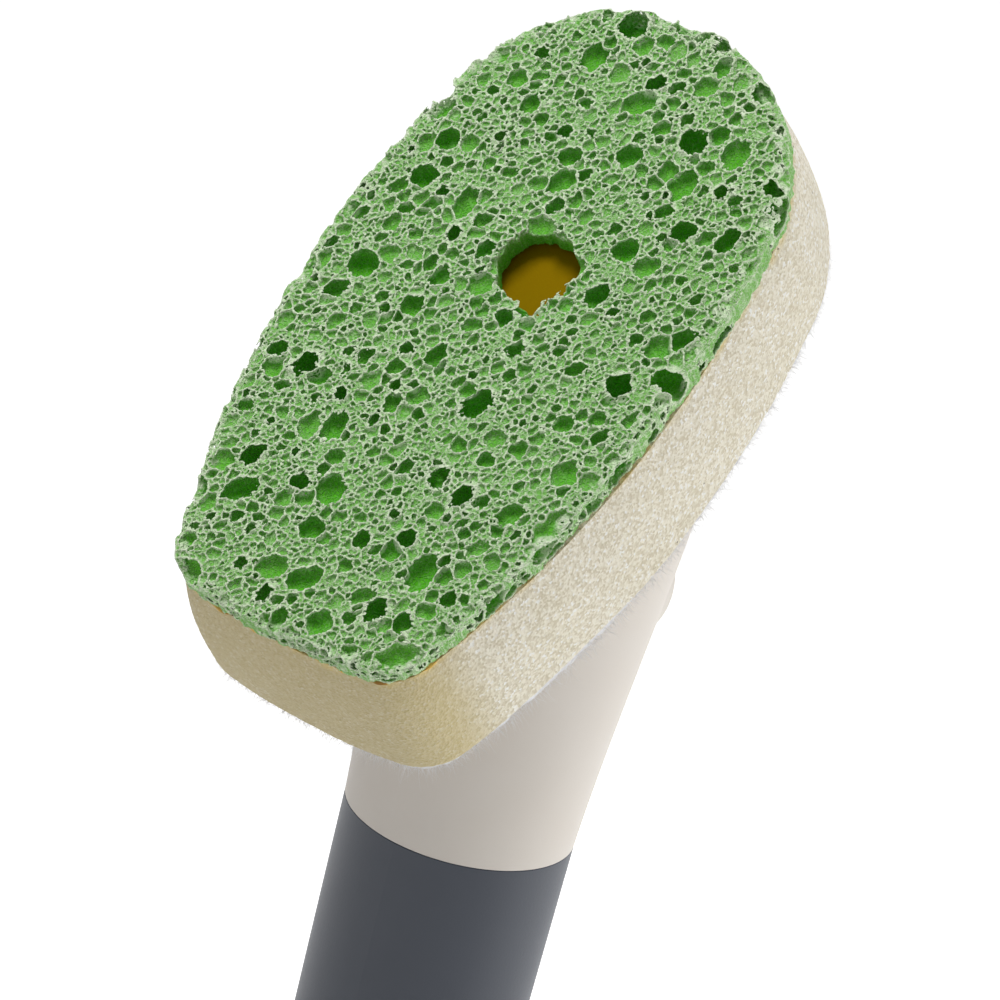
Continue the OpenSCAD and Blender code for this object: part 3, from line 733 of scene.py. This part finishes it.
# Smallest and largest radius in millimetres, how many are wanted, how many are thrown, and how near
# two may lie as a share of their radii.
cell_classes = ((1.9, 2.6, 36, 500, 1.0), (1.3, 1.9, 120, 2400, 0.85), (0.85, 1.3, 420, 7000, 0.78),
                (0.5, 0.85, 1300, 14000, 0.78), (0.3, 0.5, 4600, 28000, 0.78),
                (0.2, 0.3, 12000, 40000, 0.82))
most_cells = 40000
edge_cells = 0.14


def scatter_cells():
    """Throws cells at the face and the edge, the large ones first, and keeps those with room: rows of
    middle x, y and z, radius, stretch and the angle of the stretch."""
    kept = np.zeros((most_cells, 6))
    count = 0
    low, high = scrub_edge.min(0), scrub_edge.max(0)
    for smallest, largest, wanted, tries, room in cell_classes:
        placed = 0
        for a, b, c, d, e, f, g in chance.random((tries, 7)):
            r = (smallest + (largest - smallest) * d ** 1.6) * mm
            x, y = low[0] + a * (high[0] - low[0]), low[1] + b * (high[1] - low[1])
            z = scrub_high + (1.1 * c - 0.8) * r
            stretch, lean = 1.05 + 0.75 * f ** 1.5, drawn_angle + 0.9 * (g - 0.5)
            if e < edge_cells:
                spot = int(a * side_count)
                z = scrub_low + foot_t + c * (scrub_high - scrub_low)
                x, y = scrub_loop[spot] * (1 - b * 0.8 * mm / np.hypot(*scrub_loop[spot]))
                tangent = scrub_loop[spot] - scrub_loop[spot - 1]
                stretch, lean = 1.2 + 0.8 * f, math.atan2(tangent[1], tangent[0])
            apart = np.sqrt(((kept[:count, :3] - (x, y, z)) ** 2).sum(1)) - room * (kept[:count, 3] + r)
            if count and apart.min() < 0:
                continue
            kept[count] = x, y, z, r, stretch, lean
            count += 1
            placed += 1
            if placed == wanted or count == len(kept):
                break
    return kept[:count]


far_off = 9.0
cell_margin = 0.8 * mm
open_by = 0.1 * mm
grit_depth = 0.03 * mm
first_cell = np.full(shell.shape, far_off, np.float32)
second_cell = np.full(shell.shape, far_off, np.float32)
for x, y, z, r, stretch, lean in scatter_cells():
    window = []
    for axis, middle in ((grid_x, x), (grid_y, y), (grid_z, z)):
        half = r * stretch + cell_margin
        window.append(slice(max(0, int((middle - half - axis[0]) / step)),
                            max(0, int((middle + half - axis[0]) / step) + 2)))
    dx = bent_x[window[0], window[1], None] - x
    dy = bent_y[window[0], window[1], None] - y
    dz = (grid_z[window[2]] - z)[None, None, :]
    along = (dx * math.cos(lean) + dy * math.sin(lean)) / stretch
    aside = dy * math.cos(lean) - dx * math.sin(lean)
    away = (np.sqrt(along ** 2 + aside ** 2 + dz ** 2) - r).astype(np.float32)
    first, second = first_cell[tuple(window)], second_cell[tuple(window)]
    np.minimum(second, np.maximum(first, away), out=second)
    np.minimum(first, away, out=first)
hollow = np.minimum(open_by - first_cell, (second_cell - first_cell - web) / 2)
hollow = np.minimum(hollow, grid_z - scrub_low - foot_t)
grit = chance.normal(0, 1, shell.shape).astype(np.float32)
for axis in (0, 1, 2):
    grit = (grit + np.roll(grit, 1, axis)) / 1.5
solid = np.minimum(shell, -hollow) + grit_depth * grit * (shell > 0)
solid = np.minimum(solid, grid_z - scrub_low)
volume = openvdb.FloatGrid(1.0)
volume.copyFromArray(-solid.astype(np.float32) / step)
points, triangles, quads = volume.convertToPolygons(isovalue=0.0, adaptivity=0.02)
points = points * step + np.array((grid_x[0], grid_y[0], grid_z[0]))


def cube_mean(values, reach):
    """The mean over a cube of voxels that reaches that many each way."""
    for axis in range(3):
        ends = [(reach + 1, reach) if a == axis else (0, 0) for a in range(3)]
        total = np.cumsum(np.pad(values, ends, "edge"), axis, dtype=np.float32)
        total = np.moveaxis(total, axis, 0)
        values = np.moveaxis((total[2 * reach + 1:] - total[:-2 * reach - 1]) / (2 * reach + 1), 0, axis)
    return values


def note(made, name, field):
    """Stores a grid's values at the mesh's points, for the material to read."""
    nearest = [np.clip(np.round((points[:, k] - axis[0]) / step).astype(int), 0, len(axis) - 1)
               for k, axis in enumerate((grid_x, grid_y, grid_z))]
    stored = made.data.attributes.new(name, "FLOAT", "POINT")
    stored.data.foreach_set("value", field[tuple(nearest)].astype(np.float32))


sponge_finish = Finish("green_cellulose", linear(140, 200, 110), 0.85, Specular_IOR_Level=0.12)
sponge = piece("scrub_sponge_body", points, [tuple(f) for f in triangles] + [tuple(f) for f in quads],
               sponge_finish, "refill", "green_sponge", head, 180)
note(sponge, "buried", under_face / mm)
bulk_reach = 0.26 * mm
note(sponge, "bulk", cube_mean((solid > 0).astype(np.float32), round(bulk_reach / step)))
outwards(sponge)
buried = sponge_finish.node("ShaderNodeAttribute", {"attribute_name": "buried"}, out="Fac")
bulk = sponge_finish.node("ShaderNodeAttribute", {"attribute_name": "bulk"}, out="Fac")
sponge_place = sponge_finish.place()
pore = 0.6 * mm
fine_web = sponge_finish.cells(pore, sponge_place, feature="DISTANCE_TO_EDGE")
ridge = 1 - fine_web.between(0.03, 0.16)
drawn = sponge_finish.node("ShaderNodeMapping", {"vector_type": "TEXTURE"},
                           {"Vector": sponge_place, "Rotation": (0, 0, drawn_angle), "Scale": (3.2, 1, 1)})
strands = sponge_finish.cloud(0.3 * mm, drawn, detail=2.0)
mottle = sponge_finish.cloud(0.4 * mm, sponge_place)
# Painted light: the green turns more saturated the deeper a point lies under the face, standing in for light
# bounced round inside the cells.
tone = sponge_finish.node("ShaderNodeValToRGB", {"stops": (
    (0.0, linear(132, 198, 96)), (0.25, linear(128, 200, 88)), (0.6, linear(112, 198, 62)),
    (1.0, linear(92, 192, 30)))}, {0: (buried + 0.8 * mottle - 0.4) / 2.6})
# The webs are pale of their own, most of all where they are thin, and paler still on the fine ridges and
# along the fibres near the face: partly their own colour, partly a painted highlight.
top = 1 - buried.between(0.3, 1.6)
thin = 1 - bulk.between(0.2, 0.5)
pale_and_highlit = thin * (1 - 0.75 * buried.between(0.6, 2.4)) + 0.3 * ridge * top + 0.1 * ridge
tone = sponge_finish.mix(tone, linear(238, 254, 220), pale_and_highlit * (0.25 + 1.3 * strands))
tone = sponge_finish.mix(tone, linear(242, 254, 228), top * strands.between(0.6, 0.72) * 0.6)
# Painted shade: the fine pores deep in the cells are painted dark green.
painted_pore_shade = 1 - sponge_finish.cells(pore, sponge_place).between(0.1, 0.26)
tone = sponge_finish.mix(tone, linear(60, 130, 24), painted_pore_shade * buried.between(0.5, 1.4) * 0.55)
sponge_finish.set("Base Color", tone)
sponge_finish.bump(mottle + 0.8 * ridge + 0.6 * strands, 0.16 * mm)
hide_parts("scrub_sponge")


# Studio: a plain white floor that keeps the wand's shadow, a white room, and three soft lamps, to the
# picture's right, above it and, weaker, to its left.
floor_finish = Finish("white_floor", linear(245, 245, 245), 0.9)
seen_floor = (floor_finish.node("ShaderNodeLightPath", out="Is Camera Ray")
              + floor_finish.node("ShaderNodeLightPath", out="Is Glossy Ray")
              + floor_finish.node("ShaderNodeLightPath", out="Is Transmission Ray"))
dark, glow = (0, 0, 0, 1), (0.6, 0.6, 0.6, 1)
floor_finish.set("Emission Color", floor_finish.mix(dark, glow, seen_floor))
floor_finish.set("Emission Strength", 1.0)
floor_mesh = bpy.data.meshes.new("floor")
floor_half = 6.0
corners = [(x * floor_half, y * floor_half, 0) for x, y in ((-1, -1), (1, -1), (1, 1), (-1, 1))]
floor_mesh.from_pydata(corners, [], [(0, 1, 2, 3)])
floor_mesh.materials.append(floor_finish.material)
floor = bpy.data.objects.new("floor", floor_mesh)
bpy.context.scene.collection.objects.link(floor)
world = bpy.data.worlds.new("room")
bpy.context.scene.world = world
world.use_nodes = True
room = world.node_tree
background = room.nodes["Background"]
background.inputs["Color"].default_value = (1, 1, 1, 1)
path = room.nodes.new("ShaderNodeLightPath")
strength = path.outputs["Is Camera Ray"]
for kind in ("Is Glossy Ray", "Is Transmission Ray"):
    either = room.nodes.new("ShaderNodeMath")
    either.operation = "MAXIMUM"
    room.links.new(strength, either.inputs[0])
    room.links.new(path.outputs[kind], either.inputs[1])
    strength = either.outputs[0]
room_light = 0.22
dimmed = room.nodes.new("ShaderNodeMath")
dimmed.operation = "MAXIMUM"
dimmed.inputs[1].default_value = room_light
room.links.new(strength, dimmed.inputs[0])
room.links.new(dimmed.outputs[0], background.inputs["Strength"])


def lamp(name, right, up, near, distance, wide, tall, power):
    """A soft lamp with a flat front, placed from the head by the picture's directions."""
    light = bpy.data.lights.new(name, "AREA")
    light.shape = "RECTANGLE"
    light.size = wide
    light.size_y = tall
    light.energy = power
    made = bpy.data.objects.new(name, light)
    bpy.context.scene.collection.objects.link(made)
    direction = (picture_right * right + picture_up * up + to_viewer * near).normalized()
    made.location = crossing + direction * distance
    made.rotation_euler = direction.to_track_quat("Z", "Y").to_euler()


lamp("right_lamp", right=0.95, up=-0.36, near=-0.05, distance=0.7, wide=0.9, tall=0.4, power=3.8)
lamp("top_lamp", right=-0.1, up=0.85, near=0.5, distance=1.1, wide=0.4, tall=0.4, power=7.8)
lamp("left_lamp", right=-0.85, up=-0.1, near=0.5, distance=1.2, wide=0.9, tall=0.9, power=1.2)
bpy.context.scene.view_settings.view_transform = "Standard"
